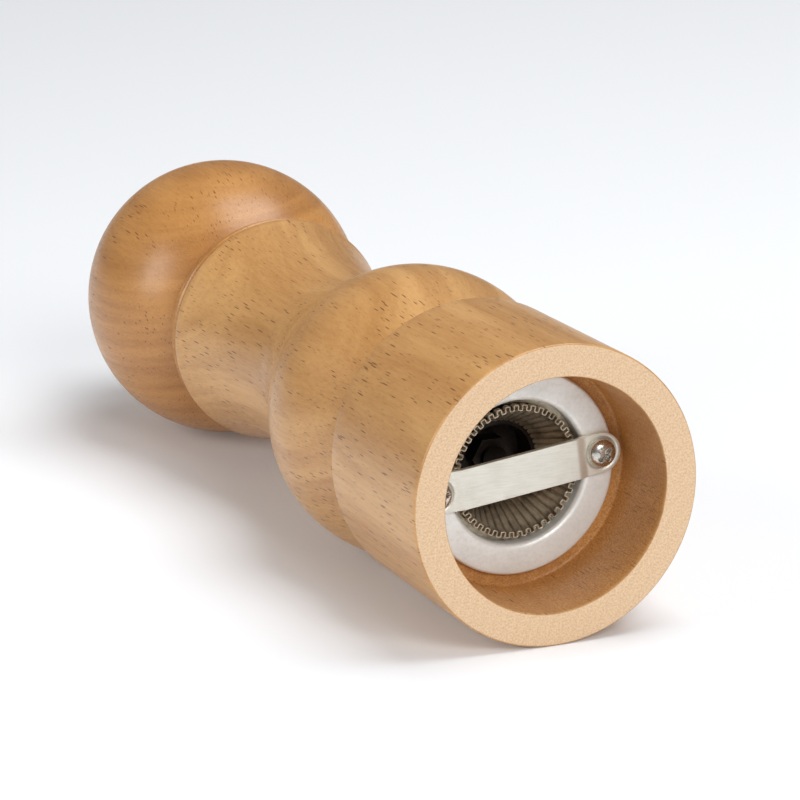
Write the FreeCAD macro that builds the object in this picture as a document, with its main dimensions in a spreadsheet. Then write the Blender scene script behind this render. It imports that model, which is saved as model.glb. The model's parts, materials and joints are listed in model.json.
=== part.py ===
"""Pepper mill with a turned beech body, a ball head and an adjustable steel grinding mechanism.

Frame: millimetres, +Z up. The origin is the centre of the base's underside and the mill's axis is Z.
The grinding outlet is underneath, in a recess of the base; the head turns on top.
"""
import FreeCAD, Part
import math
import os

import Sketcher

SIZES = {
    # body, from the base upwards
    "base_radius": (28.2, "outer radius of the base at the table"),
    "base_top_radius": (27.4, "outer radius at the base's rear edge"),
    "base_height": (37.1, "height of the base cylinder"),
    "edge_round": (0.45, "rounding of the base's lower edge"),
    "groove_radius": (23.4, "body radius in the groove above the base"),
    "groove_step": (0.5, "rise from the base's rear edge to the groove"),
    "bead_radius": (27.6, "largest radius of the bead above the groove"),
    "bead_height": (58.6, "height of the bead's crest"),
    "bead_curve": (29.0, "radius of the bead's curve in section"),
    "waist_radius": (17.9, "smallest radius of the waist"),
    "waist_height": (93.0, "height of the waist"),
    "lip_radius": (21.8, "radius of the body's top lip"),
    "lip_height": (119.8, "height where the waist's curve meets the lip"),
    "seam_height": (121.9, "top face of the body, under the head"),
    "small_round": (0.5, "rounding of small wooden edges"),
    # recess and bores in the body
    "recess_mouth_radius": (22.05, "radius of the base recess at its mouth"),
    "recess_floor_radius": (21.5, "radius of the base recess at its floor"),
    "recess_depth": (16.7, "depth of the base recess"),
    "mechanism_bore_radius": (14.2, "bore that holds the mechanism"),
    "mechanism_bore_top": (45.2, "height of the shoulder above the mechanism"),
    "chamber_radius": (13.0, "radius of the pepper chamber"),
    "socket_radius": (14.7, "radius of the socket for the head's tenon"),
    "socket_floor": (107.5, "height of the socket's floor"),
    # flange, bar and screws
    "flange_radius": (19.25, "outer radius of the mechanism's flange"),
    "flange_thickness": (1.0, "thickness of the flange"),
    "outlet_radius": (13.5, "radius of the flange's central opening"),
    "insert_radius": (14.1, "outer radius of the parts in the mechanism bore"),
    "outlet_round": (1.0, "rounding from the flange into its collar"),
    "collar_top": (19.0, "top of the flange's collar"),
    "bar_width": (7.6, "width of the retaining bar"),
    "bar_thickness": (1.0, "thickness of the retaining bar"),
    "bar_rise": (0.4, "offset of the bar's middle from its ends"),
    "bar_angle": (-6.8, "turn of the bar about the mill's axis, degrees"),
    "bar_bend_inner": (12.2, "distance from the axis where the bar's bend starts"),
    "bar_bend_outer": (13.2, "distance from the axis where the bar's bend ends"),
    "screw_circle": (16.5, "distance of the bar's screws from the axis"),
    "screw_head_radius": (2.65, "radius of the bar screws' heads"),
    "screw_head_height": (1.9, "height of the bar screws' heads"),
    "screw_head_side": (0.7, "height of the bar screws' heads at their edge"),
    "screw_shank_radius": (1.2, "radius of the bar screws' shanks"),
    "screw_length": (9.0, "length of the bar screws under the head"),
    "dimple_radius": (3.15, "radius of the dimple under each screw head"),
    "dimple_depth": (0.35, "depth of the dimple under each screw head"),
    "recess_slot_width": (0.75, "width of a drive slot in a screw head"),
    "recess_slot_length": (3.0, "length of a drive slot in a screw head"),
    "recess_slot_depth": (1.1, "depth of a drive slot in a screw head"),
    "pilot_play": (0.05, "radial play of a screw or insert in its hole"),
    "cut_margin": (1.0, "how far a cut starts before and ends after the material"),
    # female burr, sleeve and bridge
    "female_bottom_radius": (12.4, "inner radius at the female burr's lower end"),
    "female_throat_radius": (9.9, "inner radius at the female burr's throat"),
    "female_throat_height": (24.2, "height of the female burr's throat"),
    "female_top_radius": (12.9, "inner radius at the female burr's upper end"),
    "female_top": (33.0, "top of the female burr"),
    "female_tooth_reach": (10.8, "radius that the female burr's tooth gaps reach"),
    "female_tooth_gap": (0.9, "width of a gap between the female burr's teeth"),
    "female_tooth_count": (28.0, "number of teeth on the female burr"),
    "sleeve_wall": (0.8, "wall of the spacer sleeve"),
    "sleeve_top": (43.9, "top of the spacer sleeve"),
    "bridge_thickness": (1.2, "thickness of the guide bridge"),
    "bridge_rim": (1.5, "width of the guide bridge's rim"),
    "bridge_hub_radius": (7.0, "radius of the guide bridge's centre"),
    "bridge_hole_radius": (4.3, "hole for the shaft in the guide bridge"),
    "bridge_arm_width": (3.6, "width of the guide bridge's arms"),
    # male burr and its hub
    "burr_rim_height": (16.5, "height of the male burr's rim"),
    "burr_lip_height": (17.6, "height where the male burr's cone starts"),
    "burr_rim_radius": (12.6, "outer radius of the male burr's rim"),
    "burr_rim_fold": (1.0, "depth of the male burr's folds at its rim"),
    "burr_throat_radius": (8.3, "outer radius of the male burr's upper end"),
    "burr_throat_fold": (0.4, "depth of the male burr's folds at its upper end"),
    "burr_top": (24.2, "top of the male burr's cone"),
    "burr_sheet": (0.4, "sheet thickness of the male burr"),
    "burr_fold_count": (44.0, "number of folds round the male burr"),
    "hub_radius": (8.1, "outer radius of the burr's hub"),
    "hub_bore_radius": (6.9, "radius of the hub's open underside"),
    "hub_web_bottom": (30.0, "underside of the hub's web"),
    "hub_top": (31.2, "top of the burr's hub"),
    # shaft, washers and spring
    "shaft_side": (5.5, "side of the square shaft"),
    "square_play": (0.1, "difference between a square hole and the shaft"),
    "shaft_square_top": (167.0, "top of the shaft's square length"),
    "thread_radius": (2.5, "radius of the shaft's threaded end"),
    "thread_top": (181.0, "top of the shaft's threaded end"),
    "spigot_radius": (2.4, "radius of the shaft's lower spigot"),
    "spigot_bottom": (25.2, "lower end of the shaft's spigot"),
    "nut_across_flats": (7.0, "width of the hexagonal nut under the hub"),
    "nut_height": (3.6, "height of the nut under the hub"),
    "washer_radius": (6.3, "outer radius of the spring's washers"),
    "washer_thickness": (0.8, "thickness of the spring's washers"),
    "thrust_washer_gap": (0.2, "gap between the thrust washer and the bridge"),
    "spring_radius": (4.9, "mean radius of the spring's coil"),
    "spring_wire_radius": (0.45, "radius of the spring's wire"),
    "spring_turns": (4.5, "number of turns of the spring"),
    "spring_end_gap": (0.1, "play at each end of the spring"),
    # head
    "head_bottom": (122.15, "underside of the head, above the seam"),
    "neck_radius": (21.6, "radius of the head's neck ring at the seam"),
    "neck_curve": (11.0, "radius of the neck ring's curve in section"),
    "crease_radius": (18.9, "radius of the crease between neck ring and ball"),
    "ball_radius": (26.87, "radius of the head's ball"),
    "ball_height": (147.65, "height of the ball's centre"),
    "tenon_radius": (14.2, "radius of the head's tenon"),
    "tenon_bottom": (110.0, "underside of the head's tenon"),
    "shaft_bore_radius": (4.3, "bore for the shaft through the head"),
    "seat_radius": (8.5, "radius of the flat seat on top of the head"),
    "seat_height": (171.9, "height of the flat seat on top of the head"),
    "drive_plate_radius": (12.3, "radius of the drive plate"),
    "drive_plate_thickness": (1.1, "thickness of the drive plate"),
    "plate_screw_circle": (8.9, "distance of the drive plate's screws from the axis"),
    "plate_screw_head_radius": (2.1, "radius of the drive plate screws' heads"),
    "plate_screw_head_height": (1.3, "height of the drive plate screws' heads"),
    "plate_screw_head_side": (0.5, "height of the drive plate screws' heads at their edge"),
    "plate_screw_length": (8.0, "length of the drive plate screws under the head"),
    # knob
    "cap_plate_radius": (8.3, "radius of the cap plate on the head"),
    "cap_plate_thickness": (1.0, "thickness of the cap plate"),
    "cap_plate_hole": (3.6, "radius of the cap plate's hole"),
    "knob_washer_radius": (5.8, "radius of the washer under the knob"),
    "knob_washer_thickness": (0.6, "thickness of the washer under the knob"),
    "knob_gap": (0.05, "play under and over the knob's washer"),
    "knob_radius": (7.2, "radius of the knob"),
    "knob_skirt": (5.0, "height of the knob's cylindrical side"),
    "knob_tip_radius": (1.4, "radius of the small flat on top of the knob"),
    "knob_height": (10.4, "height of the knob"),
    "knob_bore_depth": (8.2, "depth of the knob's threaded bore"),
    "knob_bore_radius": (2.56, "radius of the knob's threaded bore"),
    "knob_flute_count": (24.0, "number of flutes round the knob"),
    "knob_flute_radius": (0.45, "radius of a flute in the knob's side"),
}

VALUE = {name: size for name, (size, _) in SIZES.items()}
FULL_TURN = 360.0
CREST_SHARE = 0.62  # part of a fold's pitch that its crest takes
WIRE_SIDES = 8  # sides of the spring wire's section
SECTIONS_PER_TURN = 16  # sections of the spring's wire in one turn
FLANK_SHARE = 0.6  # thickness of a fold's flanks, as a part of the sheet's
ARC_PLAY = 0.0001  # keeps a half circle's centre clear of its chord
HEXAGON_CORNER = "1.7320508"  # width across flats over the corner radius of a hexagon
ORIGIN_POINT = (-1, 1)
X_AXIS = -1
Y_AXIS = -2

doc = FreeCAD.newDocument("PepperMill")


def make_sheet():
    """Put every driving dimension in one spreadsheet, with its alias and its meaning."""
    sheet = doc.addObject("Spreadsheet::Sheet", "Sizes")
    for row, (name, (size, meaning)) in enumerate(SIZES.items(), start=1):
        sheet.set(f"A{row}", name)
        sheet.set(f"B{row}", str(size))
        sheet.set(f"C{row}", meaning)
        sheet.setAlias(f"B{row}", name)
    doc.recompute()
    return sheet


def value_of(formula):
    """Value of a formula of size names and numbers, separated by spaces, with + - * and /."""
    total = 0.0
    sign = 1.0
    term = None
    operator = "*"
    for token in str(formula).split():
        if token in "+-":
            total += sign * (term or 0.0)
            sign = 1.0 if token == "+" else -1.0
            term = None
            operator = "*"
        elif token in "*/":
            operator = token
        else:
            factor = VALUE[token] if token in VALUE else float(token)
            if term is None:
                term = factor
            elif operator == "*":
                term *= factor
            else:
                term /= factor
    return total + sign * (term or 0.0)


def expression(formula):
    """The same formula, written for FreeCAD with the spreadsheet's name before each size."""
    words = [f"Sizes.{token}" if token in VALUE else token for token in str(formula).split()]
    return " ".join(words)


def bind(target, prop, formula):
    """Set a property from a formula and keep it bound to the spreadsheet."""
    target.setExpression(prop, expression(formula))


def new_body(name):
    """A PartDesign body whose label is the piece's name."""
    body = doc.addObject("PartDesign::Body", name)
    body.Label = name
    return body


def new_sketch(body, name, plane="XZ_Plane", height=None):
    """A sketch on one of the body's own origin planes, lifted along Z where a height is given."""
    sketch = body.newObject("Sketcher::SketchObject", name)
    for feature in body.Origin.OriginFeatures:
        if feature.Role == plane:
            sketch.AttachmentSupport = [(feature, "")]
    sketch.MapMode = "FlatFace"
    if height is not None:
        bind(sketch, ".AttachmentOffset.Base.z", height)
    return sketch


class Free:
    """A coordinate or radius that the sketch's other constraints decide, with a first guess."""

    def __init__(self, guess):
        self.guess = guess


class Arc:
    """A round edge: its radius, the side its centre lies on (1 left, -1 right), and tangency."""

    def __init__(self, radius, side=1, smooth=False):
        self.radius = radius
        self.side = side
        self.smooth = smooth


def guess_of(size):
    return size.guess if isinstance(size, Free) else value_of(size)


def arc_between(start, end, radius, side):
    """The shorter arc from start to end, with its centre on the side asked for."""
    chord = end - start
    left = FreeCAD.Vector(-chord.y, chord.x, 0).normalize()
    rise = math.sqrt(max(radius ** 2 - (chord.Length / 2) ** 2, 0.0))
    centre = (start + end) * 0.5 + left * (side * rise)
    first, last = (start, end) if side > 0 else (end, start)
    first_angle = math.atan2(first.y - centre.y, first.x - centre.x)
    last_angle = math.atan2(last.y - centre.y, last.x - centre.x)
    circle = Part.Circle(centre, FreeCAD.Vector(0, 0, 1), radius)
    return Part.ArcOfCircle(circle, first_angle, last_angle)


def pin_coordinate(sketch, kind, edge, end, size):
    """Fix one coordinate of a point: on an axis when it is zero, else at a bound distance."""
    if isinstance(size, Free):
        return
    distance = value_of(size)
    if abs(distance) < 1e-9:
        axis = Y_AXIS if kind == "DistanceX" else X_AXIS
        sketch.addConstraint(Sketcher.Constraint("PointOnObject", edge, end, axis))
        return
    index = sketch.addConstraint(Sketcher.Constraint(kind, *ORIGIN_POINT, edge, end, distance))
    bind(sketch, f"Constraints[{index}]", size)


def outline(sketch, corners):
    """Draw a closed outline. Each corner is (x, y) or (x, y, Arc) for the edge that leaves it.

    Returns the index of the edge that leaves each corner.
    """
    points = [FreeCAD.Vector(guess_of(c[0]), guess_of(c[1]), 0) for c in corners]
    edges = []
    ends = []
    for k, corner in enumerate(corners):
        start = points[k]
        end = points[(k + 1) % len(points)]
        bend = corner[2] if len(corner) > 2 else None
        if bend is None:
            edges.append(sketch.addGeometry(Part.LineSegment(start, end), False))
            ends.append((1, 2))
        else:
            arc = arc_between(start, end, guess_of(bend.radius), bend.side)
            edges.append(sketch.addGeometry(arc, False))
            ends.append((1, 2) if bend.side > 0 else (2, 1))
    for k, corner in enumerate(corners):
        before = k - 1
        bend = corner[2] if len(corner) > 2 else None
        joint = (edges[before], ends[before][1], edges[k], ends[k][0])
        kind = "Tangent" if bend is not None and bend.smooth else "Coincident"
        sketch.addConstraint(Sketcher.Constraint(kind, *joint))
        pin_coordinate(sketch, "DistanceX", edges[k], ends[k][0], corner[0])
        pin_coordinate(sketch, "DistanceY", edges[k], ends[k][0], corner[1])
        if bend is not None and not isinstance(bend.radius, Free):
            radius = value_of(bend.radius)
            index = sketch.addConstraint(Sketcher.Constraint("Radius", edges[k], radius))
            bind(sketch, f"Constraints[{index}]", bend.radius)
    return edges


def circle(sketch, x, y, radius):
    """Draw a full circle with its centre and radius bound to the spreadsheet."""
    centre = FreeCAD.Vector(value_of(x), value_of(y), 0)
    shape = Part.Circle(centre, FreeCAD.Vector(0, 0, 1), value_of(radius))
    edge = sketch.addGeometry(shape, False)
    pin_coordinate(sketch, "DistanceX", edge, 3, x)
    pin_coordinate(sketch, "DistanceY", edge, 3, y)
    index = sketch.addConstraint(Sketcher.Constraint("Radius", edge, value_of(radius)))
    bind(sketch, f"Constraints[{index}]", radius)


def rectangle(sketch, left, right, low, high):
    """Draw an upright rectangle between two x and two y formulas."""
    outline(sketch, [(left, low), (right, low), (right, high), (left, high)])


def revolve(body, corners, name="Turned"):
    """Turn a profile in the XZ plane a full circle about the mill's axis."""
    sketch = new_sketch(body, f"{body.Name}{name}Profile")
    edges = outline(sketch, corners)
    feature = body.newObject("PartDesign::Revolution", f"{body.Name}{name}")
    feature.Profile = sketch
    feature.ReferenceAxis = (sketch, ["V_Axis"])
    feature.Angle = FULL_TURN
    sketch.Visibility = False
    body.Tip = feature
    return sketch, edges, feature


def extrude(body, sketch, kind, length, upward=True, name="Feature"):
    """Pad or pocket a horizontal sketch along Z, upward or downward."""
    feature = body.newObject(f"PartDesign::{kind}", f"{body.Name}{name}")
    feature.Profile = sketch
    bind(feature, "Length", length)
    feature.Reversed = upward if kind == "Pocket" else not upward
    body.Tip = feature
    return feature


def cut(body, sketch, length, upward=True, name="Cut"):
    """Pocket a sketch and make sure that it took material away."""
    doc.recompute()
    before = body.Shape.Volume
    feature = extrude(body, sketch, "Pocket", length, upward, name)
    doc.recompute()
    if body.Shape.Volume >= before - 1e-6:
        raise RuntimeError(f"{body.Name}: {name} cuts nothing")
    return feature


def repeat_round(body, features, count, name="Round"):
    """Repeat features evenly round the mill's axis."""
    pattern = body.newObject("PartDesign::PolarPattern", f"{body.Name}{name}")
    pattern.Originals = features
    for feature in body.Origin.OriginFeatures:
        if feature.Role == "Z_Axis":
            pattern.Axis = (feature, [""])
    pattern.Angle = FULL_TURN
    pattern.Occurrences = int(value_of(count))
    bind(pattern, "Occurrences", count)
    body.Tip = pattern
    doc.recompute()
    return pattern


def square_hole(body, low, height):
    """Cut a square hole for the shaft, from a height upwards."""
    sketch = new_sketch(body, f"{body.Name}SquareSketch", "XY_Plane", low)
    half = "shaft_side / 2 + square_play / 2"
    minus_half = "- shaft_side / 2 - square_play / 2"
    rectangle(sketch, minus_half, half, minus_half, half)
    return cut(body, sketch, height, True, "SquareHole")


def ring(name, inner, outer, low, high):
    """A flat ring or tube between two radii and two heights."""
    body = new_body(name)
    revolve(body, [(inner, low), (outer, low), (outer, high), (inner, high)])
    return body


def make_body():
    """The turned beech body: base, groove, bead, waist and lip, with its recess and bores."""
    body = new_body("body")
    sketch, edges, _ = revolve(body, [
        ("recess_mouth_radius", "0"),
        ("base_radius - edge_round", "0", Arc("edge_round")),
        ("base_radius", "edge_round"),
        ("base_top_radius", "base_height - small_round", Arc("small_round")),
        ("base_top_radius - small_round", "base_height"),
        ("groove_radius", "base_height + groove_step"),
        (Free(25.8), Free(47.5), Arc("bead_curve", 1, True)),
        (Free(20.9), Free(76.5), Arc(Free(31.5), -1, True)),
        ("waist_radius", "waist_height", Arc(Free(94.0), -1, True)),
        ("lip_radius - small_round / 2", "lip_height"),
        ("lip_radius", "lip_height + small_round"),
        ("lip_radius", "seam_height - small_round", Arc("small_round")),
        ("lip_radius - small_round", "seam_height"),
        ("socket_radius", "seam_height"),
        ("socket_radius", "socket_floor"),
        ("chamber_radius", "socket_floor"),
        ("chamber_radius", "mechanism_bore_top"),
        ("mechanism_bore_radius", "mechanism_bore_top"),
        ("mechanism_bore_radius", "recess_depth"),
        ("recess_floor_radius", "recess_depth"),
    ])
    bead = edges[6]
    waist = edges[7]
    pin_coordinate(sketch, "DistanceX", bead, 3, "bead_radius - bead_curve")
    pin_coordinate(sketch, "DistanceY", bead, 3, "bead_height")
    pin_coordinate(sketch, "DistanceY", waist, 3, "waist_height")
    pilots = new_sketch(body, "bodyPilotSketch", "XY_Plane", "recess_depth")
    for side in ("", "- "):
        circle(pilots, f"{side}screw_circle", "0", "screw_shank_radius + pilot_play")
    cut(body, pilots, "screw_length", True, "PilotHoles")
    bind(body, ".Placement.Rotation.Angle", "bar_angle")
    return body


def make_flange_ring():
    """The zinc plated flange: a flat ring whose inner edge rolls into a short collar."""
    body = new_body("flange_ring")
    low = "recess_depth - flange_thickness"
    revolve(body, [
        ("outlet_radius + outlet_round", low),
        ("flange_radius - flange_thickness / 2", low, Arc("flange_thickness / 2")),
        ("flange_radius", f"{low} + flange_thickness / 2"),
        ("flange_radius", "recess_depth"),
        ("insert_radius", "recess_depth"),
        ("insert_radius", "collar_top"),
        ("outlet_radius", "collar_top"),
        ("outlet_radius", f"{low} + outlet_round", Arc("outlet_round", 1)),
    ])
    holes = new_sketch(body, "flange_ringHoleSketch", "XY_Plane", f"{low} - cut_margin")
    for side in ("", "- "):
        circle(holes, f"{side}screw_circle", "0", "screw_shank_radius + pilot_play")
    cut(body, holes, "flange_thickness + 2 * cut_margin", True, "ScrewHoles")
    bind(body, ".Placement.Rotation.Angle", "bar_angle")
    return body


def make_female_burr():
    """The fixed toothed ring: a throat that opens upwards as a funnel and downwards as a cone."""
    body = new_body("female_burr")
    revolve(body, [
        ("female_bottom_radius", "collar_top"),
        ("insert_radius", "collar_top"),
        ("insert_radius", "female_top"),
        ("female_top_radius", "female_top"),
        ("female_throat_radius", "female_throat_height"),
    ])
    gap = new_sketch(body, "female_burrGapSketch", "XY_Plane", "collar_top")
    half = "female_tooth_gap / 2"
    outline(gap, [
        ("female_throat_radius / 2", f"- {half}"),
        ("female_tooth_reach", "- female_tooth_gap / 4"),
        ("female_tooth_reach", "female_tooth_gap / 4"),
        ("female_throat_radius / 2", half),
    ])
    slot = cut(body, gap, "female_top - collar_top", True, "ToothGap")
    repeat_round(body, [slot], "female_tooth_count", "Teeth")
    return body


def make_guide_bridge():
    """A pressed plate with three openings that guides the shaft and lets the pepper through."""
    body = new_body("guide_bridge")
    rim_inner = "insert_radius - bridge_rim"
    plate = new_sketch(body, "guide_bridgePlateSketch", "XY_Plane", "sleeve_top")
    circle(plate, "0", "0", "insert_radius")
    circle(plate, "0", "0", rim_inner)
    extrude(body, plate, "Pad", "bridge_thickness", True, "Rim")
    arm = new_sketch(body, "guide_bridgeArmSketch", "XY_Plane", "sleeve_top")
    rectangle(arm, "bridge_hub_radius - bridge_rim / 2", f"{rim_inner} + bridge_rim / 2",
              "- bridge_arm_width / 2", "bridge_arm_width / 2")
    arm_pad = extrude(body, arm, "Pad", "bridge_thickness", True, "Arm")
    repeat_round(body, [arm_pad], "3", "Arms")
    hub = new_sketch(body, "guide_bridgeHubSketch", "XY_Plane", "sleeve_top")
    circle(hub, "0", "0", "bridge_hub_radius")
    circle(hub, "0", "0", "bridge_hole_radius")
    extrude(body, hub, "Pad", "bridge_thickness", True, "Hub")
    return body


def make_retaining_bar():
    """The bar across the outlet: a strip with round ends, bent down to the flange at each end."""
    body = new_body("retaining_bar")
    side = new_sketch(body, "retaining_barSideSketch")
    reach = "screw_circle + bar_width / 2"
    far_reach = "- screw_circle - bar_width / 2"
    top = "recess_depth - flange_thickness"
    raised = f"{top} - bar_rise"
    outline(side, [
        (far_reach, top),
        (far_reach, f"{top} - bar_thickness"),
        ("- bar_bend_outer", f"{top} - bar_thickness"),
        ("- bar_bend_inner", f"{raised} - bar_thickness"),
        ("bar_bend_inner", f"{raised} - bar_thickness"),
        ("bar_bend_outer", f"{top} - bar_thickness"),
        (reach, f"{top} - bar_thickness"),
        (reach, top),
        ("bar_bend_outer", top),
        ("bar_bend_inner", raised),
        ("- bar_bend_inner", raised),
        ("- bar_bend_outer", top),
    ])
    strip = body.newObject("PartDesign::Pad", "retaining_barStrip")
    strip.Profile = side
    strip.Midplane = True
    bind(strip, "Length", "bar_width")
    body.Tip = strip
    ends = new_sketch(body, "retaining_barEndSketch", "XY_Plane", f"{top} + cut_margin")
    end_radius = f"bar_width / 2 + {ARC_PLAY}"
    rectangle(ends, "- screw_circle - bar_width", "screw_circle + bar_width", "- bar_width", "bar_width")
    outline(ends, [
        ("- screw_circle", "- bar_width / 2"),
        ("screw_circle", "- bar_width / 2", Arc(end_radius)),
        ("screw_circle", "bar_width / 2"),
        ("- screw_circle", "bar_width / 2", Arc(end_radius)),
    ])
    cut(body, ends, "bar_rise + bar_thickness + 2 * cut_margin", False, "RoundEnds")
    dimples = new_sketch(body, "retaining_barDimpleSketch", "XY_Plane", f"{top} - bar_thickness")
    holes = new_sketch(body, "retaining_barHoleSketch", "XY_Plane",
                       f"{top} - bar_thickness - cut_margin")
    for sign in ("", "- "):
        circle(dimples, f"{sign}screw_circle", "0", "dimple_radius")
        circle(holes, f"{sign}screw_circle", "0", "screw_shank_radius + pilot_play")
    cut(body, dimples, "dimple_depth", True, "Dimples")
    cut(body, holes, "bar_thickness + 2 * cut_margin", True, "ScrewHoles")
    bind(body, ".Placement.Rotation.Angle", "bar_angle")
    return body


def make_screw_pair(name, distance, seat, head_radius, head_side, head_height, length, angle=None):
    """Two wood screws with domed pan heads, which hang under a seat height opposite each other."""
    body = new_body(name)
    body.AllowCompound = True
    profile = new_sketch(body, f"{name}Profile")
    outline(profile, [
        (distance, f"{seat} + {length}"),
        (distance, f"{seat} - {head_height}"),
        (f"{distance} + {head_radius} / 2", f"{seat} - {head_height}", Arc(f"{head_radius} * 0.9")),
        (f"{distance} + {head_radius}", f"{seat} - {head_side}"),
        (f"{distance} + {head_radius}", seat),
        (f"{distance} + screw_shank_radius", seat),
        (f"{distance} + screw_shank_radius", f"{seat} + {length}"),
    ])
    low_end = FreeCAD.Vector(value_of(distance), 0, 0)
    axis = profile.addGeometry(Part.LineSegment(low_end, low_end + FreeCAD.Vector(0, 1, 0)), True)
    pin_coordinate(profile, "DistanceX", axis, 1, distance)
    pin_coordinate(profile, "DistanceX", axis, 2, distance)
    screw = body.newObject("PartDesign::Revolution", f"{name}Turned")
    screw.Profile = profile
    screw.ReferenceAxis = (profile, ["Axis0"])
    screw.Angle = FULL_TURN
    body.Tip = screw
    slots = []
    for suffix, along, across in (("A", "recess_slot_length", "recess_slot_width"),
                                  ("B", "recess_slot_width", "recess_slot_length")):
        slot = new_sketch(body, f"{name}Slot{suffix}Sketch", "XY_Plane", f"{seat} - {head_height}")
        rectangle(slot, f"{distance} - {along} / 2", f"{distance} + {along} / 2",
                  f"- {across} / 2", f"{across} / 2")
        slots.append(cut(body, slot, "recess_slot_depth", True, f"Slot{suffix}"))
    repeat_round(body, [screw] + slots, "2", "Pair")
    if angle is not None:
        bind(body, ".Placement.Rotation.Angle", angle)
    return body


def folded_wire(height, radius, fold, sheet):
    """One closed zigzag of the male burr's folds: crests at a radius, troughs a fold inside it.

    sheet is the distance inward from the outer skin, which also narrows the crests.
    """
    count = int(VALUE["burr_fold_count"])
    pitch = 2 * math.pi / count
    crest = radius - sheet
    trough = radius - fold - sheet
    crest_half = pitch * CREST_SHARE / 2 - sheet * FLANK_SHARE / trough
    points = []
    for k in range(count):
        middle = k * pitch
        for angle, reach in ((middle - crest_half, crest), (middle + crest_half, crest),
                             (middle + crest_half, trough), (middle + pitch - crest_half, trough)):
            points.append(FreeCAD.Vector(reach * math.cos(angle), reach * math.sin(angle), height))
    return Part.makePolygon(points + [points[0]])


def make_male_burr():
    """The turning burr: a cone of folded sheet with a crenellated rim, open underneath."""
    sections = (
        (VALUE["burr_rim_height"], VALUE["burr_rim_radius"], VALUE["burr_rim_fold"]),
        (VALUE["burr_lip_height"], VALUE["burr_rim_radius"], VALUE["burr_rim_fold"]),
        (VALUE["burr_top"], VALUE["burr_throat_radius"], VALUE["burr_throat_fold"]),
    )
    outer = [folded_wire(*section, 0.0) for section in sections]
    inner = [folded_wire(*section, VALUE["burr_sheet"]) for section in sections]
    faces = Part.makeLoft(outer, False, True).Faces + Part.makeLoft(inner, False, True).Faces
    for low_or_high in (0, -1):
        faces.append(Part.makeFace([outer[low_or_high], inner[low_or_high]], "Part::FaceMakerBullseye"))
    shell = Part.Shell(faces)
    shell.sewShape()
    solid = Part.Solid(shell)
    if solid.Volume < 0:
        solid.reverse()
    piece = doc.addObject("Part::Feature", "male_burr")
    piece.Label = "male_burr"
    piece.Shape = solid
    return piece


def make_burr_hub():
    """The turned hub over the male burr: a cup open underneath, with a square hole in its web."""
    body = new_body("burr_hub")
    revolve(body, [
        ("0", "hub_web_bottom"),
        ("hub_bore_radius", "hub_web_bottom"),
        ("hub_bore_radius", "burr_top"),
        ("hub_radius", "burr_top"),
        ("hub_radius", "hub_top - small_round", Arc("small_round")),
        ("hub_radius - small_round", "hub_top"),
        ("0", "hub_top"),
    ])
    square_hole(body, "hub_web_bottom - cut_margin", "hub_top - hub_web_bottom + 2 * cut_margin")
    return body


def make_shaft():
    """The square shaft, with a round spigot below and a threaded end above."""
    body = new_body("shaft")
    square = new_sketch(body, "shaftSquareSketch", "XY_Plane", "hub_web_bottom")
    rectangle(square, "- shaft_side / 2", "shaft_side / 2", "- shaft_side / 2", "shaft_side / 2")
    extrude(body, square, "Pad", "shaft_square_top - hub_web_bottom", True, "Square")
    spigot = new_sketch(body, "shaftSpigotSketch", "XY_Plane", "hub_web_bottom")
    circle(spigot, "0", "0", "spigot_radius")
    extrude(body, spigot, "Pad", "hub_web_bottom - spigot_bottom", False, "Spigot")
    thread = new_sketch(body, "shaftThreadSketch", "XY_Plane", "shaft_square_top")
    circle(thread, "0", "0", "thread_radius")
    extrude(body, thread, "Pad", "thread_top - shaft_square_top", True, "Thread")
    return body


def make_shaft_nut():
    """The hexagonal nut on the shaft's spigot, which carries the hub and the male burr."""
    body = new_body("shaft_nut")
    hexagon = new_sketch(body, "shaft_nutHexagonSketch", "XY_Plane", "hub_web_bottom")
    half = "nut_across_flats / 2"
    corner = f"nut_across_flats / {HEXAGON_CORNER}"
    quarter = f"{corner} / 2"
    outline(hexagon, [(corner, "0"), (quarter, half), (f"- {quarter}", half),
                      (f"- {corner}", "0"), (f"- {quarter}", f"- {half}"), (quarter, f"- {half}")])
    circle(hexagon, "0", "0", "spigot_radius")
    extrude(body, hexagon, "Pad", "nut_height", False, "Hexagon")
    return body


def make_square_washer(name, low, thickness, radius):
    """A washer with a square hole, which turns with the shaft."""
    body = new_body(name)
    disc = new_sketch(body, f"{name}DiscSketch", "XY_Plane", low)
    circle(disc, "0", "0", radius)
    extrude(body, disc, "Pad", thickness, True, "Disc")
    square_hole(body, f"{low} - cut_margin", f"{thickness} + 2 * cut_margin")
    return body


def wire_section(angle, height):
    """The outline of the spring's wire, square to the coil, at an angle round the mill's axis."""
    outward = FreeCAD.Vector(math.cos(angle), math.sin(angle), 0)
    centre = outward * VALUE["spring_radius"] + FreeCAD.Vector(0, 0, height)
    points = []
    for k in range(WIRE_SIDES):
        turn = 2 * math.pi * k / WIRE_SIDES
        reach = outward * math.cos(turn) + FreeCAD.Vector(0, 0, math.sin(turn))
        points.append(centre + reach * VALUE["spring_wire_radius"])
    return Part.makePolygon(points + [points[0]])


def make_spring():
    """The coil spring between the two washers: wire sections joined along a helix."""
    margin = VALUE["spring_wire_radius"] + VALUE["spring_end_gap"]
    low = VALUE["hub_top"] + VALUE["washer_thickness"] + margin
    high = VALUE["sleeve_top"] - VALUE["thrust_washer_gap"] - VALUE["washer_thickness"] - margin
    steps = int(VALUE["spring_turns"] * SECTIONS_PER_TURN)
    sections = []
    for k in range(steps + 1):
        angle = 2 * math.pi * k / SECTIONS_PER_TURN
        sections.append(wire_section(angle, low + (high - low) * k / steps))
    piece = doc.addObject("Part::Feature", "spring")
    piece.Label = "spring"
    piece.Shape = Part.makeLoft(sections, True, True)
    return piece


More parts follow.
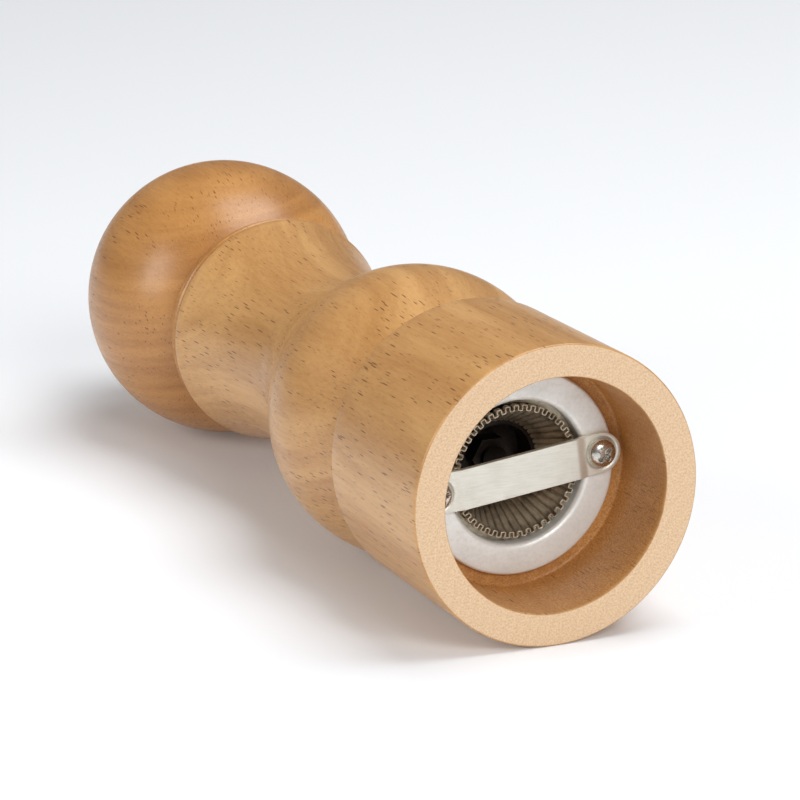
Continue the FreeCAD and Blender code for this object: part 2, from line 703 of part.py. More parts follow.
def make_head():
    """The turned beech head: tenon, neck ring, crease and ball, bored through for the shaft."""
    body = new_body("head")
    sketch, edges, _ = revolve(body, [
        ("shaft_bore_radius", "tenon_bottom"),
        ("tenon_radius - small_round", "tenon_bottom", Arc("small_round")),
        ("tenon_radius", "tenon_bottom + small_round"),
        ("tenon_radius", "head_bottom"),
        ("neck_radius - small_round", "head_bottom", Arc("small_round")),
        ("neck_radius", "head_bottom + small_round", Arc("neck_curve")),
        ("crease_radius", Free(128.9), Arc("ball_radius")),
        ("seat_radius", Free(172.9)),
        ("seat_radius", "seat_height"),
        ("shaft_bore_radius", "seat_height"),
    ])
    ball = edges[6]
    sketch.addConstraint(Sketcher.Constraint("PointOnObject", ball, 3, Y_AXIS))
    pin_coordinate(sketch, "DistanceY", ball, 3, "ball_height")
    pilots = new_sketch(body, "headPilotSketch", "XY_Plane", "tenon_bottom")
    for side in ("", "- "):
        circle(pilots, f"{side}plate_screw_circle", "0", "screw_shank_radius + pilot_play")
    cut(body, pilots, "plate_screw_length", True, "PilotHoles")
    return body


def make_drive_plate():
    """The steel plate under the tenon, whose square hole turns the shaft."""
    low = "tenon_bottom - drive_plate_thickness"
    body = make_square_washer("drive_plate", low, "drive_plate_thickness", "drive_plate_radius")
    holes = new_sketch(body, "drive_plateHoleSketch", "XY_Plane", f"{low} - cut_margin")
    for side in ("", "- "):
        circle(holes, f"{side}plate_screw_circle", "0", "screw_shank_radius + pilot_play")
    cut(body, holes, "drive_plate_thickness + 2 * cut_margin", True, "ScrewHoles")
    return body


def make_knob():
    """The adjusting knob: a fluted, domed nut on the shaft's threaded end."""
    body = new_body("knob")
    low = "seat_height + cap_plate_thickness + knob_washer_thickness + 2 * knob_gap"
    revolve(body, [
        ("knob_bore_radius", low),
        ("knob_radius - small_round", low),
        ("knob_radius", f"{low} + small_round"),
        ("knob_radius", f"{low} + knob_skirt", Arc("knob_radius")),
        ("knob_tip_radius", f"{low} + knob_height"),
        ("0", f"{low} + knob_height"),
        ("0", f"{low} + knob_bore_depth"),
        ("knob_bore_radius", f"{low} + knob_bore_depth"),
    ])
    flute = new_sketch(body, "knobFluteSketch", "XY_Plane", f"{low} + small_round * 2")
    circle(flute, "knob_radius + knob_flute_radius / 3", "0", "knob_flute_radius")
    groove = cut(body, flute, "knob_skirt - small_round * 3", True, "Flute")
    repeat_round(body, [groove], "knob_flute_count", "Flutes")
    return body


def make_all():
    """Every sub-part of the mill, from the outlet up to the knob."""
    make_body()
    make_flange_ring()
    make_female_burr()
    ring("housing_sleeve", "insert_radius - sleeve_wall", "insert_radius", "female_top", "sleeve_top")
    make_guide_bridge()
    make_retaining_bar()
    make_screw_pair("bar_screws", "screw_circle",
                    "recess_depth - flange_thickness - bar_thickness + dimple_depth",
                    "screw_head_radius", "screw_head_side", "screw_head_height",
                    "screw_length", "bar_angle")
    make_male_burr()
    make_burr_hub()
    make_shaft()
    make_shaft_nut()
    make_square_washer("lower_spring_washer", "hub_top", "washer_thickness", "washer_radius")
    make_spring()
    make_square_washer("thrust_washer", "sleeve_top - thrust_washer_gap - washer_thickness",
                       "washer_thickness", "washer_radius")
    make_head()
    make_drive_plate()
    make_screw_pair("drive_plate_screws", "plate_screw_circle",
                    "tenon_bottom - drive_plate_thickness",
                    "plate_screw_head_radius", "plate_screw_head_side",
                    "plate_screw_head_height", "plate_screw_length")
    ring("cap_plate", "cap_plate_hole", "cap_plate_radius",
         "seat_height", "seat_height + cap_plate_thickness")
    ring("knob_washer", "thread_radius + 2 * knob_gap", "knob_washer_radius",
         "seat_height + cap_plate_thickness + knob_gap",
         "seat_height + cap_plate_thickness + knob_gap + knob_washer_thickness")
    make_knob()


def sub_parts():
    """The finished pieces: every PartDesign body and every free-standing Part feature."""
    kinds = ("PartDesign::Body", "Part::Feature")
    return [item for item in doc.Objects if item.TypeId in kinds]


def check_document():
    """Stop if any object failed to compute or any piece has a missing or faulty shape."""
    for item in doc.Objects:
        if "Invalid" in item.State or "Error" in item.State:
            raise RuntimeError(f"{item.Label} failed: {item.State}")
    for piece in sub_parts():
        if piece.Shape.isNull() or not piece.Shape.isValid():
            raise RuntimeError(f"{piece.Label} has no valid shape")


def export_pieces():
    os.makedirs("parts", exist_ok=True)
    for piece in sub_parts():
        piece.Shape.exportStep(os.path.join("parts", f"{piece.Label}.step"))
        print(piece.Label, round(piece.Shape.Volume, 1), len(piece.Shape.Solids))


make_sheet()
make_all()
doc.recompute()
check_document()
export_pieces()
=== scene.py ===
"""Looks of the turned beech pepper mill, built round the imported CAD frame.

The frame stands upright: +Z runs from the grinding outlet to the knob. The studio view shows the mill
lying on its +Y side, so the camera's "up" is -Y and the main floor is a plane under the +Y side.
"""
import json
import math

import bmesh
import bpy
from mathutils import Matrix, Vector


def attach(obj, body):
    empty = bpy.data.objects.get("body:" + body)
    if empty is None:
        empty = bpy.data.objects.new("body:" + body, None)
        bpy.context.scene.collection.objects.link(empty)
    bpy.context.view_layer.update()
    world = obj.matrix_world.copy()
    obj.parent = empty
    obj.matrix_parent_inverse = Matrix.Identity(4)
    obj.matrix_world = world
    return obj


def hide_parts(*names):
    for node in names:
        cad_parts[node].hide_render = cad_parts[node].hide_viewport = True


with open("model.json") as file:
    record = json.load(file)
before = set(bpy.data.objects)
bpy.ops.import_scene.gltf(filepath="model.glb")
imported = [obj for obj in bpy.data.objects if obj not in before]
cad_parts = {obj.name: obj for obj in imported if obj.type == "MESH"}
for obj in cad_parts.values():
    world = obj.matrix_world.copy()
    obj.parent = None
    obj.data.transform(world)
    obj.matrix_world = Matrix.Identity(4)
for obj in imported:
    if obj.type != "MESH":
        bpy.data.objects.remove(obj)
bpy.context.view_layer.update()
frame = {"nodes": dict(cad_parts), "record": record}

MM = 0.001

# Driving sizes of the turned pieces, in millimetres, the same as the CAD pieces they stand for.
BASE_RADIUS = 28.2
BASE_TOP_RADIUS = 27.4
BASE_HEIGHT = 37.1
EDGE_ROUND = 0.45
GROOVE_RADIUS = 23.4
GROOVE_STEP = 0.5
BEAD_RADIUS = 27.6
BEAD_HEIGHT = 58.6
BEAD_CURVE = 29.0
WAIST_RADIUS = 17.9
WAIST_HEIGHT = 93.0
LIP_RADIUS = 21.8
LIP_HEIGHT = 119.8
SEAM_HEIGHT = 121.9
SMALL_ROUND = 0.5
RECESS_MOUTH = 22.05
RECESS_FLOOR = 21.5
RECESS_DEPTH = 16.7
MECHANISM_BORE = 14.2
MECHANISM_TOP = 45.2
CHAMBER_RADIUS = 13.0
SOCKET_RADIUS = 14.7
SOCKET_FLOOR = 107.5
HEAD_BOTTOM = 122.15
NECK_RADIUS = 21.6
NECK_CURVE = 11.0
CREASE_RADIUS = 18.9
BALL_RADIUS = 26.87
BALL_HEIGHT = 147.65
TENON_RADIUS = 14.2
TENON_BOTTOM = 110.0
SHAFT_BORE = 4.3
SEAT_RADIUS = 8.5
SEAT_HEIGHT = 171.9

# The pressed and screwed steel parts, in millimetres.
FLANGE_RADIUS = 19.25
FLANGE_THICKNESS = 1.0
OUTLET_RADIUS = 13.5
INSERT_RADIUS = 14.1
OUTLET_ROUND = 1.0
COLLAR_TOP = 19.0
BAR_WIDTH = 7.6
BAR_THICKNESS = 1.0
BAR_RISE = 0.4
BAR_ANGLE = -6.8  # degrees
BAR_BEND = (11.4, 13.6)  # a little softer than the CAD bar's bend
BAR_EDGE_SOFTNESS = 0.16
SCREW_CIRCLE = 16.5
SCREW_HEAD_RADIUS = 2.65
SCREW_HEAD_HEIGHT = 1.9
SCREW_HEAD_SIDE = 0.7
SCREW_SHANK_RADIUS = 1.2
SCREW_LENGTH = 9.0
SCREW_SPINS = {1: 38.0, -1: 12.0}  # degrees that each screw was left turned
DOME_POWERS = (3.2, 0.75)  # a flat middle and a round shoulder
# The cross recess fades out between each of these pairs of distances.
SLOT_HALF_WIDTH = (0.26, 0.48)
SLOT_REACH = (1.20, 1.62)
SLOT_MIDDLE = (0.55, 0.95)
SLOT_DEPTH = 1.0
EDGE_LAND = 0.12  # the short upright step below a screw's dome
DIMPLE_RADIUS = 3.15
DIMPLE_DEPTH = 0.35
BURR_FOLDS = 44
BURR_SHEET = 0.30  # thinner than the CAD sheet, so that the rim's edge looks fine
BURR_HEIGHTS = (16.5, 17.6, 24.2)  # rim, start of the cone, upper end
BURR_RADII = (12.6, 8.3)  # at the rim and the upper end
BURR_FOLD_DEPTHS = (1.0, 0.4)
FOLD_SQUARENESS = 1.8  # 0 gives a plain wave, more gives flatter crests
FOLD_LEAN = 0.10  # how far a fold's flanks are pulled upright, in pitches

TURNING_STEPS = 256
LACQUER_ROUGHNESS = 0.33


# ---------------------------------------------------------------- outlines of the turned pieces

def arc(centre, start, end, steps):
    """Points from start to end on the circle round centre, the short way round."""
    first = math.atan2(start[1] - centre[1], start[0] - centre[0])
    last = math.atan2(end[1] - centre[1], end[0] - centre[0])
    sweep = (last - first + math.pi) % (2 * math.pi) - math.pi
    radius = math.dist(centre, start)
    angles = [first + sweep * k / steps for k in range(steps + 1)]
    return [(centre[0] + radius * math.cos(a), centre[1] + radius * math.sin(a)) for a in angles]


def corner(point, before, after, radius, steps=5):
    """A rounded corner at point, between the directions of its neighbours."""
    here = Vector(point)
    back = (Vector(before) - here).normalized()
    ahead = (Vector(after) - here).normalized()
    half = back.angle(ahead) / 2
    reach = radius / math.tan(half)
    centre = here + (back + ahead).normalized() * (radius / math.sin(half))
    return arc(centre, here + back * reach, here + ahead * reach, steps)


def between(start, end, steps):
    """Evenly spaced points strictly between two points."""
    return [(start[0] + (end[0] - start[0]) * k / steps, start[1] + (end[1] - start[1]) * k / steps)
            for k in range(1, steps)]


def tangent_point(start, centre, radius):
    """Where the line from start touches a circle, on the outer side."""
    away = Vector(start) - Vector(centre)
    spread = math.acos(radius / away.length)
    angle = math.atan2(away.y, away.x) + spread
    return (centre[0] + radius * math.cos(angle), centre[1] + radius * math.sin(angle))


def bead_and_waist():
    """The body's outside from the groove to the lip: a line, the bead and the two waist curves."""
    groove = (GROOVE_RADIUS, BASE_HEIGHT + GROOVE_STEP)
    bead = (BEAD_RADIUS - BEAD_CURVE, BEAD_HEIGHT)
    bead_start = tangent_point(groove, bead, BEAD_CURVE)
    side = WAIST_RADIUS - bead[0]
    rise = WAIST_HEIGHT - BEAD_HEIGHT
    low_curve = (side ** 2 + rise ** 2 - BEAD_CURVE ** 2) / (2 * (BEAD_CURVE - side))
    low_centre = (WAIST_RADIUS + low_curve, WAIST_HEIGHT)
    share = BEAD_CURVE / (BEAD_CURVE + low_curve)
    bead_end = (bead[0] + (low_centre[0] - bead[0]) * share, bead[1] + (low_centre[1] - bead[1]) * share)
    lip = (LIP_RADIUS - SMALL_ROUND / 2, LIP_HEIGHT)
    flare = lip[0] - WAIST_RADIUS
    high_curve = (flare ** 2 + (LIP_HEIGHT - WAIST_HEIGHT) ** 2) / (2 * flare)
    waist = (WAIST_RADIUS, WAIST_HEIGHT)
    points = [groove] + between(groove, bead_start, 6)
    points += arc(bead, bead_start, bead_end, 40)
    points += arc(low_centre, bead_end, waist, 28)[1:]
    points += arc((WAIST_RADIUS + high_curve, WAIST_HEIGHT), waist, lip, 28)[1:]
    return points


def body_outline():
    """The closed half section of the wooden body."""
    rim = (BASE_RADIUS, 0.0)
    rear = (BASE_TOP_RADIUS, BASE_HEIGHT)
    top = (LIP_RADIUS, SEAM_HEIGHT)
    mouth = (RECESS_MOUTH, 0.0)
    points = corner(mouth, (RECESS_FLOOR, RECESS_DEPTH), rim, 0.25, 3)
    points += between(mouth, rim, 5)
    points += corner(rim, mouth, rear, EDGE_ROUND, 6)
    points += between(rim, rear, 12)
    points += corner(rear, rim, (GROOVE_RADIUS, BASE_HEIGHT + GROOVE_STEP), SMALL_ROUND, 5)
    points += bead_and_waist()
    points += [(LIP_RADIUS, LIP_HEIGHT + SMALL_ROUND)]
    points += corner(top, (LIP_RADIUS, LIP_HEIGHT), (SOCKET_RADIUS, SEAM_HEIGHT), SMALL_ROUND, 5)
    points += [(SOCKET_RADIUS, SEAM_HEIGHT), (SOCKET_RADIUS, SOCKET_FLOOR), (CHAMBER_RADIUS, SOCKET_FLOOR)]
    points += between((CHAMBER_RADIUS, SOCKET_FLOOR), (CHAMBER_RADIUS, MECHANISM_TOP), 8)
    points += [(CHAMBER_RADIUS, MECHANISM_TOP), (MECHANISM_BORE, MECHANISM_TOP)]
    points += [(MECHANISM_BORE, RECESS_DEPTH)]
    points += between((MECHANISM_BORE, RECESS_DEPTH), (RECESS_FLOOR, RECESS_DEPTH), 4)
    points += corner((RECESS_FLOOR, RECESS_DEPTH), (MECHANISM_BORE, RECESS_DEPTH), mouth, 0.6, 4)
    points += between((RECESS_FLOOR, RECESS_DEPTH), mouth, 8)
    return points


def head_outline():
    """The closed half section of the wooden head."""
    ball = (0.0, BALL_HEIGHT)
    crease = (CREASE_RADIUS, BALL_HEIGHT - math.sqrt(BALL_RADIUS ** 2 - CREASE_RADIUS ** 2))
    seat = (SEAT_RADIUS, BALL_HEIGHT + math.sqrt(BALL_RADIUS ** 2 - SEAT_RADIUS ** 2))
    neck = (NECK_RADIUS, HEAD_BOTTOM + SMALL_ROUND)
    chord = Vector(crease) - Vector(neck)
    left = Vector((-chord.y, chord.x)).normalized()
    rise = math.sqrt(NECK_CURVE ** 2 - (chord.length / 2) ** 2)
    neck_centre = (Vector(neck) + Vector(crease)) / 2 + left * rise
    points = [(SHAFT_BORE, TENON_BOTTOM)]
    points += corner((TENON_RADIUS, TENON_BOTTOM), (SHAFT_BORE, TENON_BOTTOM),
                     (TENON_RADIUS, HEAD_BOTTOM), SMALL_ROUND, 4)
    points += [(TENON_RADIUS, HEAD_BOTTOM)]
    points += between((TENON_RADIUS, HEAD_BOTTOM), (NECK_RADIUS, HEAD_BOTTOM), 4)
    points += corner((NECK_RADIUS, HEAD_BOTTOM), (TENON_RADIUS, HEAD_BOTTOM), crease, SMALL_ROUND, 4)
    points += arc(neck_centre, neck, crease, 12)[1:]
    points += arc(ball, crease, seat, 72)[1:]
    points += [(SEAT_RADIUS, SEAT_HEIGHT)]
    points += between((SEAT_RADIUS, SEAT_HEIGHT), (SHAFT_BORE, SEAT_HEIGHT), 3)
    points += [(SHAFT_BORE, SEAT_HEIGHT)]
    points += between((SHAFT_BORE, SEAT_HEIGHT), (SHAFT_BORE, TENON_BOTTOM), 10)
    return points


# ---------------------------------------------------------------- mesh helpers

def add_object(name, mesh_builder, sharp_degrees=35):
    """Turn a bmesh into a smooth shaded object whose folds sharper than an angle stay crisp."""
    bmesh.ops.recalc_face_normals(mesh_builder, faces=mesh_builder.faces)
    mesh = bpy.data.meshes.new(name)
    mesh_builder.to_mesh(mesh)
    mesh_builder.free()
    mesh.shade_smooth()
    mesh.set_sharp_from_angle(angle=math.radians(sharp_degrees))
    piece = bpy.data.objects.new(name, mesh)
    bpy.context.scene.collection.objects.link(piece)
    return piece


def tidy_outline(points, merge=0.02):
    """The outline without points that lie closer together than merge."""
    kept = []
    for point in points:
        if not kept or math.dist(point, kept[-1]) > merge:
            kept.append(point)
    if math.dist(kept[0], kept[-1]) <= merge:
        kept.pop()
    return kept


def close_rings(builder, rings):
    """Faces between each ring of points and the next, and between the last and the first."""
    for one, other in zip(rings, rings[1:] + rings[:1]):
        for k in range(len(one)):
            after = (k + 1) % len(one)
            builder.faces.new([one[k], one[after], other[after], other[k]])


def lathe(name, outline, steps=TURNING_STEPS):
    """Turn a closed (radius, height) outline in millimetres, clear of the axis, about the mill's axis."""
    builder = bmesh.new()
    rings = []
    for radius, height in tidy_outline(outline):
        ring = []
        for k in range(steps):
            angle = 2 * math.pi * k / steps
            ring.append(builder.verts.new((radius * MM * math.cos(angle),
                                           radius * MM * math.sin(angle), height * MM)))
        rings.append(ring)
    close_rings(builder, rings)
    return add_object(name, builder)


# ---------------------------------------------------------------- steel parts of the mechanism

def smooth_step(value, low, high):
    """0 below low, 1 above high, with a soft S between them."""
    share = min(1.0, max(0.0, (value - low) / (high - low)))
    return share * share * (3 - 2 * share)


def turned_about(points, degrees):
    """Points in millimetres turned about the mill's axis, as scene vectors."""
    turn = Matrix.Rotation(math.radians(degrees), 3, "Z")
    return [turn @ (Vector(point) * MM) for point in points]


def flange_outline():
    """Half section of the flange: a flat ring whose inner edge rolls up into a collar."""
    low = RECESS_DEPTH - FLANGE_THICKNESS
    inner = (OUTLET_RADIUS, low + OUTLET_ROUND)
    flat = (OUTLET_RADIUS + OUTLET_ROUND, low)
    roll_centre = (OUTLET_RADIUS + OUTLET_ROUND, low + OUTLET_ROUND)
    edge_centre = (FLANGE_RADIUS - FLANGE_THICKNESS / 2, low + FLANGE_THICKNESS / 2)
    points = arc(roll_centre, inner, flat, 10)
    points += between(flat, (edge_centre[0], low), 6)
    points += arc(edge_centre, (edge_centre[0], low), (FLANGE_RADIUS, edge_centre[1]), 6)
    points += [(FLANGE_RADIUS, RECESS_DEPTH), (INSERT_RADIUS, RECESS_DEPTH)]
    points += [(INSERT_RADIUS, COLLAR_TOP), (OUTLET_RADIUS, COLLAR_TOP)]
    return points


def bar_face(x, y):
    """Height of the bar's lower face: lowest in the middle, and dished round each screw."""
    low = RECESS_DEPTH - FLANGE_THICKNESS - BAR_THICKNESS
    height = low - BAR_RISE * (1 - smooth_step(abs(x), *BAR_BEND))
    away = math.hypot(abs(x) - SCREW_CIRCLE, y)
    dish = 1 - smooth_step(away, DIMPLE_RADIUS - 0.35, DIMPLE_RADIUS + 0.05)
    return height + DIMPLE_DEPTH * dish


def add_round_end(builder, side, edge, reaches):
    """Close one end of the bar's sheet with a half disc round its screw, in spokes from the middle."""
    rows = len(reaches) // 2
    steps = 28
    previous = edge[rows:]
    for k in range(1, steps + 1):
        angle = math.pi * k / steps
        if k == steps:
            current = edge[rows::-1]
        else:
            current = [edge[rows]]
            for reach in reaches[rows + 1:]:
                x = side * (SCREW_CIRCLE + reach * math.sin(angle))
                y = reach * math.cos(angle)
                current.append(builder.verts.new((x, y, bar_face(x, y))))
        builder.faces.new([previous[0], previous[1], current[1]])
        for j in range(1, rows):
            builder.faces.new([previous[j], previous[j + 1], current[j + 1], current[j]])
        previous = current


def make_bar():
    """The retaining bar: one sheet with half round ends, thickened and with softened edges.

    The sheet is finely divided from the bend out to the screws, and coarsely between the bends.
    """
    builder = bmesh.new()
    rows = 16
    reaches = [BAR_WIDTH / 2 * k / rows for k in range(-rows, rows + 1)]
    fine_step = 0.15
    fine = [SCREW_CIRCLE - fine_step * k for k in range(36)]
    coarse = [1.0 * k for k in range(-11, 12)]
    stations = sorted({-x for x in fine} | set(coarse) | set(fine))
    grid = [[builder.verts.new((x, y, bar_face(x, y))) for y in reaches] for x in stations]
    for one, other in zip(grid, grid[1:]):
        for k in range(len(reaches) - 1):
            builder.faces.new([one[k], other[k], other[k + 1], one[k + 1]])
    add_round_end(builder, 1, grid[-1], reaches)
    add_round_end(builder, -1, grid[0], reaches)
    for vertex in builder.verts:
        vertex.co = turned_about([vertex.co], BAR_ANGLE)[0]
    bar = add_object("pressed_bar", builder, 50)
    if sum(face.normal.z for face in bar.data.polygons) > 0:
        bar.data.flip_normals()
    thick = bar.modifiers.new("thickness", "SOLIDIFY")
    thick.thickness = BAR_THICKNESS * MM
    thick.offset = -1
    soft = bar.modifiers.new("soft_edges", "BEVEL")
    soft.width = BAR_EDGE_SOFTNESS * MM
    soft.segments = 3
    soft.angle_limit = math.radians(60)
    return bar


def cross_recess(x, y):
    """How deep a screw's cross recess is at a point of its head, as a share of its full depth."""
    deepest = 0.0
    for along, across in ((x, y), (y, x)):
        in_slot = 1 - smooth_step(abs(across), *SLOT_HALF_WIDTH)
        in_reach = 1 - smooth_step(abs(along), *SLOT_REACH)
        deepest = max(deepest, in_slot * in_reach)
    in_middle = 1 - smooth_step(math.hypot(x, y), *SLOT_MIDDLE)
    return max(deepest, in_middle)


def add_screw(builder, side):
    """One domed pan head screw with a cross recess, hanging under the bar."""
    seat = RECESS_DEPTH - FLANGE_THICKNESS - BAR_THICKNESS + DIMPLE_DEPTH
    edge = seat - SCREW_HEAD_SIDE
    dome = SCREW_HEAD_HEIGHT - SCREW_HEAD_SIDE
    steps = 96
    rings_on_head = 44
    radii = [SCREW_HEAD_RADIUS * k / rings_on_head for k in range(1, rings_on_head + 1)]
    angles = [2 * math.pi * k / steps for k in range(steps)]
    spin = math.radians(SCREW_SPINS[side])
    flat, shoulder = DOME_POWERS

    def face_height(radius, angle):
        share = radius / SCREW_HEAD_RADIUS
        bulge = dome * (1 - share ** flat) ** shoulder
        x = radius * math.cos(angle + spin)
        y = radius * math.sin(angle + spin)
        return edge - bulge + SLOT_DEPTH * cross_recess(x, y)

    rings = []
    for radius in radii:
        rings.append([(radius * math.cos(a), radius * math.sin(a), face_height(radius, a)) for a in angles])
    for radius, height in ((SCREW_HEAD_RADIUS, edge + EDGE_LAND), (SCREW_HEAD_RADIUS, seat),
                           (SCREW_SHANK_RADIUS, seat), (SCREW_SHANK_RADIUS, seat + SCREW_LENGTH)):
        rings.append([(radius * math.cos(a), radius * math.sin(a), height) for a in angles])

    def place(points):
        moved = [(x + side * SCREW_CIRCLE, y, z) for x, y, z in points]
        return [builder.verts.new(v) for v in turned_about(moved, BAR_ANGLE)]

    tip = place([(0, 0, face_height(0, 0))])[0]
    end = place([(0, 0, seat + SCREW_LENGTH)])[0]
    loops = [place(ring) for ring in rings]
    for k in range(steps):
        after = (k + 1) % steps
        builder.faces.new([tip, loops[0][after], loops[0][k]])
        builder.faces.new([end, loops[-1][k], loops[-1][after]])
        for one, other in zip(loops, loops[1:]):
            builder.faces.new([one[k], one[after], other[after], other[k]])


def fold_curve(radius, depth, steps):
    """One closed meander of rounded folds, as points with their outward sideways directions."""
    points = []
    pitch = 2 * math.pi / BURR_FOLDS
    middle = radius - BURR_SHEET / 2 - depth / 2
    for k in range(BURR_FOLDS * steps):
        phase = 2 * math.pi * k / steps
        lean = FOLD_LEAN * pitch * math.sin(2 * phase)
        angle = pitch * k / steps + lean
        wave = math.tanh(FOLD_SQUARENESS * math.cos(phase)) / math.tanh(FOLD_SQUARENESS)
        reach = middle + depth / 2 * wave
        points.append(Vector((reach * math.cos(angle), reach * math.sin(angle))))
    sideways = []
    count = len(points)
    for k in range(count):
        along = points[(k + 1) % count] - points[k - 1]
        sideways.append(Vector((along.y, -along.x)).normalized())
    return points, sideways


def make_burr():
    """The turning burr: a cone pressed from sheet in rounded folds, open underneath.

    A station is a height and how much of the sheet's thickness is there, less at the rounded rim.
    """
    builder = bmesh.new()
    steps = 16
    low, start, top = BURR_HEIGHTS
    stations = [(low, 0.45), (low + 0.05, 0.8), (low + 0.16, 1.0)]
    stations += [(low + (start - low) * k / 3, 1.0) for k in (1.2, 2, 3)]
    stations += [(start + (top - start) * k / 8, 1.0) for k in range(1, 9)]
    skins = {1: [], -1: []}
    for height, fullness in stations:
        share = max(0.0, (height - start) / (top - start))
        radius = BURR_RADII[0] + (BURR_RADII[1] - BURR_RADII[0]) * share
        depth = BURR_FOLD_DEPTHS[0] + (BURR_FOLD_DEPTHS[1] - BURR_FOLD_DEPTHS[0]) * share
        points, sideways = fold_curve(radius, depth, steps)
        for sign, loops in skins.items():
            ring = []
            for point, across in zip(points, sideways):
                moved = point + across * (sign * fullness * BURR_SHEET / 2)
                ring.append(builder.verts.new(Vector((moved.x, moved.y, height)) * MM))
            loops.append(ring)
    close_rings(builder, skins[1] + skins[-1][::-1])
    return add_object("folded_burr", builder, 60)


# ---------------------------------------------------------------- material helpers

def linear(red, green, blue):
    """A screen colour of 0 to 255 as a linear colour."""
    def channel(value):
        share = value / 255
        return share / 12.92 if share <= 0.04045 else ((share + 0.055) / 1.055) ** 2.4
    return (channel(red), channel(green), channel(blue), 1.0)


class Nodes:
    """A short way to write a material's node tree."""

    def __init__(self, name):
        self.material = bpy.data.materials.new(name)
        self.material.use_nodes = True
        self.tree = self.material.node_tree
        self.tree.nodes.clear()
        self.output = self.tree.nodes.new("ShaderNodeOutputMaterial")
        self.shader = self.tree.nodes.new("ShaderNodeBsdfPrincipled")
        self.tree.links.new(self.shader.outputs[0], self.output.inputs[0])

    def put(self, target, value):
        """Link a socket, or set a plain value."""
        if isinstance(value, bpy.types.NodeSocket):
            self.tree.links.new(value, target)
        else:
            target.default_value = value

    def set(self, name, value):
        """Link or set one of the shader's own inputs."""
        self.put(self.shader.inputs[name], value)

    def position(self):
        """The point on the piece in millimetres, in the mill's frame."""
        place = self.tree.nodes.new("ShaderNodeTexCoord").outputs["Object"]
        return self.vector("SCALE", place, scale=1 / MM)

    def normal(self):
        """The surface's direction in the mill's frame."""
        return self.tree.nodes.new("ShaderNodeTexCoord").outputs["Normal"]

    def vector(self, operation, first, second=None, scale=None):
        """A vector sum, product, scaling or length."""
        node = self.tree.nodes.new("ShaderNodeVectorMath")
        node.operation = operation
        self.put(node.inputs[0], first)
        if second is not None:
            self.put(node.inputs[1], second)
        if scale is not None:
            self.put(node.inputs["Scale"], scale)
        return node.outputs["Value" if operation in ("LENGTH", "DISTANCE", "DOT_PRODUCT") else "Vector"]

    def math(self, operation, first, second=None, third=None, clamp=False):
        node = self.tree.nodes.new("ShaderNodeMath")
        node.operation = operation
        node.use_clamp = clamp
        for socket, value in zip(node.inputs, (first, second, third)):
            if value is not None:
                self.put(socket, value)
        return node.outputs[0]

    def split(self, vector):
        node = self.tree.nodes.new("ShaderNodeSeparateXYZ")
        self.put(node.inputs[0], vector)
        return node.outputs

    def join(self, x, y, z):
        node = self.tree.nodes.new("ShaderNodeCombineXYZ")
        for socket, value in zip(node.inputs, (x, y, z)):
            self.put(socket, value)
        return node.outputs[0]

    def noise(self, place, scale=1.0, detail=2.0, roughness=0.5):
        """Smooth noise of about 0 to 1, with features a millimetre across at scale 1."""
        node = self.tree.nodes.new("ShaderNodeTexNoise")
        self.put(node.inputs["Vector"], place)
        self.put(node.inputs["Scale"], scale)
        self.put(node.inputs["Detail"], detail)
        self.put(node.inputs["Roughness"], roughness)
        return node.outputs[0]

    def cells(self, place, scale=1.0, randomness=1.0):
        """Distance to the nearest of a scatter of points, about one to each cell."""
        node = self.tree.nodes.new("ShaderNodeTexVoronoi")
        self.put(node.inputs["Vector"], place)
        self.put(node.inputs["Scale"], scale)
        self.put(node.inputs["Randomness"], randomness)
        return node.outputs["Distance"]

    def range(self, value, low, high, out_low=0.0, out_high=1.0):
        """Map low to high onto out_low to out_high, with soft ends and nothing beyond."""
        node = self.tree.nodes.new("ShaderNodeMapRange")
        node.interpolation_type = "SMOOTHSTEP"
        for socket, number in zip(node.inputs, (value, low, high, out_low, out_high)):
            self.put(socket, number)
        return node.outputs[0]

    def mix(self, share, first, second):
        """The first colour at share 0 and the second at share 1."""
        node = self.tree.nodes.new("ShaderNodeMix")
        node.data_type = "RGBA"
        node.clamp_factor = True
        self.put(node.inputs[0], share)
        self.put(node.inputs[6], first)
        self.put(node.inputs[7], second)
        return node.outputs[2]

    def bump(self, height, strength, distance_mm):
        node = self.tree.nodes.new("ShaderNodeBump")
        self.put(node.inputs["Height"], height)
        node.inputs["Strength"].default_value = strength
        node.inputs["Distance"].default_value = distance_mm * MM
        return node.outputs[0]


# ---------------------------------------------------------------- materials

def stretched(n, lengths, scales, shift=0.0):
    """A texture place made of three lengths times their scales, moved along the third by a shift."""
    first, second, third = lengths
    return n.join(n.math("MULTIPLY", first, scales[0]), n.math("MULTIPLY", second, scales[1]),
                  n.math("MULTIPLY_ADD", third, scales[2], shift))


def weighted_sum(n, *pairs):
    """The sum of values times their weights."""
    total = n.math("MULTIPLY", *pairs[0])
    for value, weight in pairs[1:]:
        total = n.math("ADD", total, n.math("MULTIPLY", value, weight))
    return total


def place_in_tree(n, x, y, pith):
    """How far a point is from the tree's pith, and how far round it, in millimetres."""
    across = n.join(n.math("SUBTRACT", x, pith[0]), n.math("SUBTRACT", y, pith[1]), 0.0)
    sides = n.split(across)
    angle = n.math("ARCTAN2", sides[1], sides[0])
    return n.vector("LENGTH", across), n.math("MULTIPLY", angle, math.hypot(*pith))


def late_wood(n, x, y, z, radius, seed):
    """The darker late wood of the growth rings, which end sharply and wander a little."""
    wander = n.noise(stretched(n, (x, y, z), (0.03, 0.03, 0.012), seed))
    ring = n.math("FRACT", n.math("ADD", n.math("MULTIPLY", radius, 0.42), n.math("MULTIPLY", wander, 3.2)))
    return n.math("MULTIPLY", n.range(ring, 0.45, 0.93), n.range(ring, 0.97, 1.0, 1.0, 0.0))


